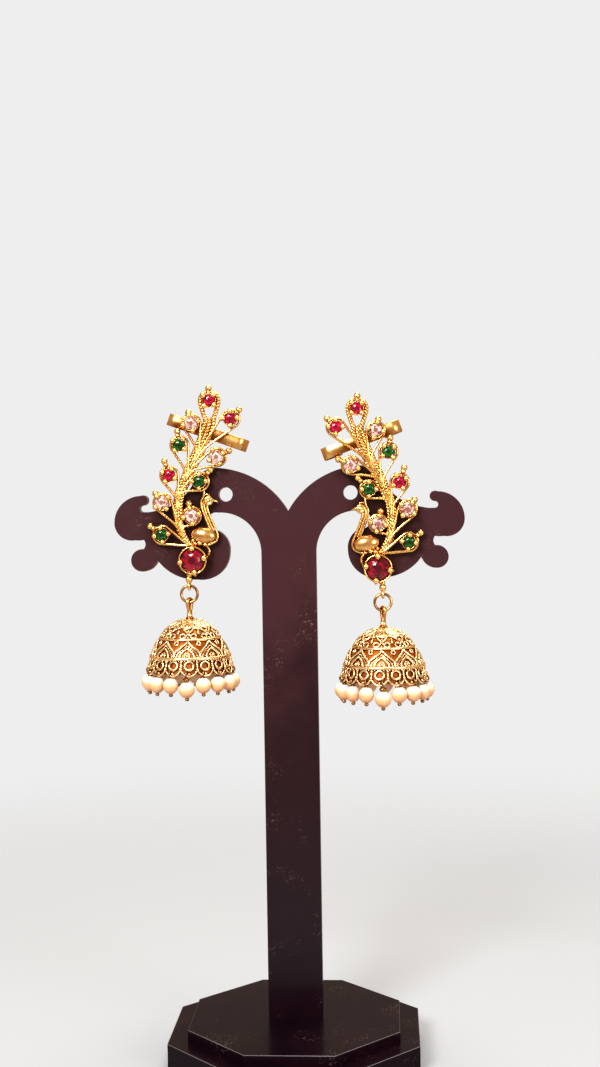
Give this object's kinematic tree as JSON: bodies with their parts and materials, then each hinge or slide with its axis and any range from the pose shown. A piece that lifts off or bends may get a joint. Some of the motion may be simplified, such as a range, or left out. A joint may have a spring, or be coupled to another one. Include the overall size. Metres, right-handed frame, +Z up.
{
  "type": "pair of jhumka earrings on display stand",
  "caption": "Mirrored jhumka earrings, each a stone-set leaf spray with a peacock, ear cuff and pearl-fringed filigree bell, hanging on a scroll-armed stand with an octagonal foot.",
  "frame": {"origin": "centre of the underside of the stand's foot", "axes": "+Z up along the post, the earrings' front faces -Y, +X to the right seen from the front"},
  "size_m": [0.064, 0.045, 0.1228],
  "materials": {
    "dark_acrylic": "glossy dark maroon-brown acrylic sheet with polished edges",
    "gold": "bright polished gold plate, warmer and darker in the recesses",
    "filigree_gold": "gold-plated filigree, bright on the raised wires and amber between them",
    "ruby": "faceted red stone, clear and glossy",
    "emerald": "faceted green stone, clear and glossy",
    "crystal": "faceted colourless stone that picks up a pinkish gold tint",
    "pearl": "cream imitation pearl with a soft nacre sheen"
  },
  "bodies": {
    "root": {"stand_base": "dark_acrylic", "stand_step": "dark_acrylic", "stand_plate": "dark_acrylic", "left_spray": "gold", "left_ruby": "ruby", "left_small_rubies": "ruby", "left_emeralds": "emerald", "left_crystals": "crystal", "right_spray": "gold", "right_ruby": "ruby", "right_small_rubies": "ruby", "right_emeralds": "emerald", "right_crystals": "crystal"},
    "left_ring": {"left_jump_ring": "gold"},
    "left_drop": {"left_bell": "filigree_gold", "left_pearl_pins": "gold", "left_pearl_01": "pearl", "left_pearl_02": "pearl", "left_pearl_03": "pearl", "left_pearl_04": "pearl", "left_pearl_05": "pearl", "left_pearl_06": "pearl", "left_pearl_07": "pearl", "left_pearl_08": "pearl", "left_pearl_09": "pearl", "left_pearl_10": "pearl", "left_pearl_11": "pearl", "left_pearl_12": "pearl", "left_pearl_13": "pearl", "left_pearl_14": "pearl", "left_pearl_15": "pearl", "left_pearl_16": "pearl"},
    "right_ring": {"right_jump_ring": "gold"},
    "right_drop": {"right_bell": "filigree_gold", "right_pearl_pins": "gold", "right_pearl_01": "pearl", "right_pearl_02": "pearl", "right_pearl_03": "pearl", "right_pearl_04": "pearl", "right_pearl_05": "pearl", "right_pearl_06": "pearl", "right_pearl_07": "pearl", "right_pearl_08": "pearl", "right_pearl_09": "pearl", "right_pearl_10": "pearl", "right_pearl_11": "pearl", "right_pearl_12": "pearl", "right_pearl_13": "pearl", "right_pearl_14": "pearl", "right_pearl_15": "pearl", "right_pearl_16": "pearl"}
  },
  "joints": [
    {"name": "left_ring_swing", "type": "hinge", "parent": "root", "child": "left_ring", "pos_m": [-0.01818, -0.0022, 0.08645], "axis": [1, 0, 0], "range_deg": [-45, 45]},
    {"name": "left_bell_swing", "type": "hinge", "parent": "left_ring", "child": "left_drop", "pos_m": [-0.01818, -0.0022, 0.08495], "axis": [0, 1, 0], "range_deg": [-8, 45]},
    {"name": "right_ring_swing", "type": "hinge", "parent": "root", "child": "right_ring", "pos_m": [0.01703, -0.0022, 0.08455], "axis": [1, 0, 0], "range_deg": [-45, 45]},
    {"name": "right_bell_swing", "type": "hinge", "parent": "right_ring", "child": "right_drop", "pos_m": [0.01703, -0.0022, 0.08305], "axis": [0, 1, 0], "range_deg": [-45, 8]}
  ]
}
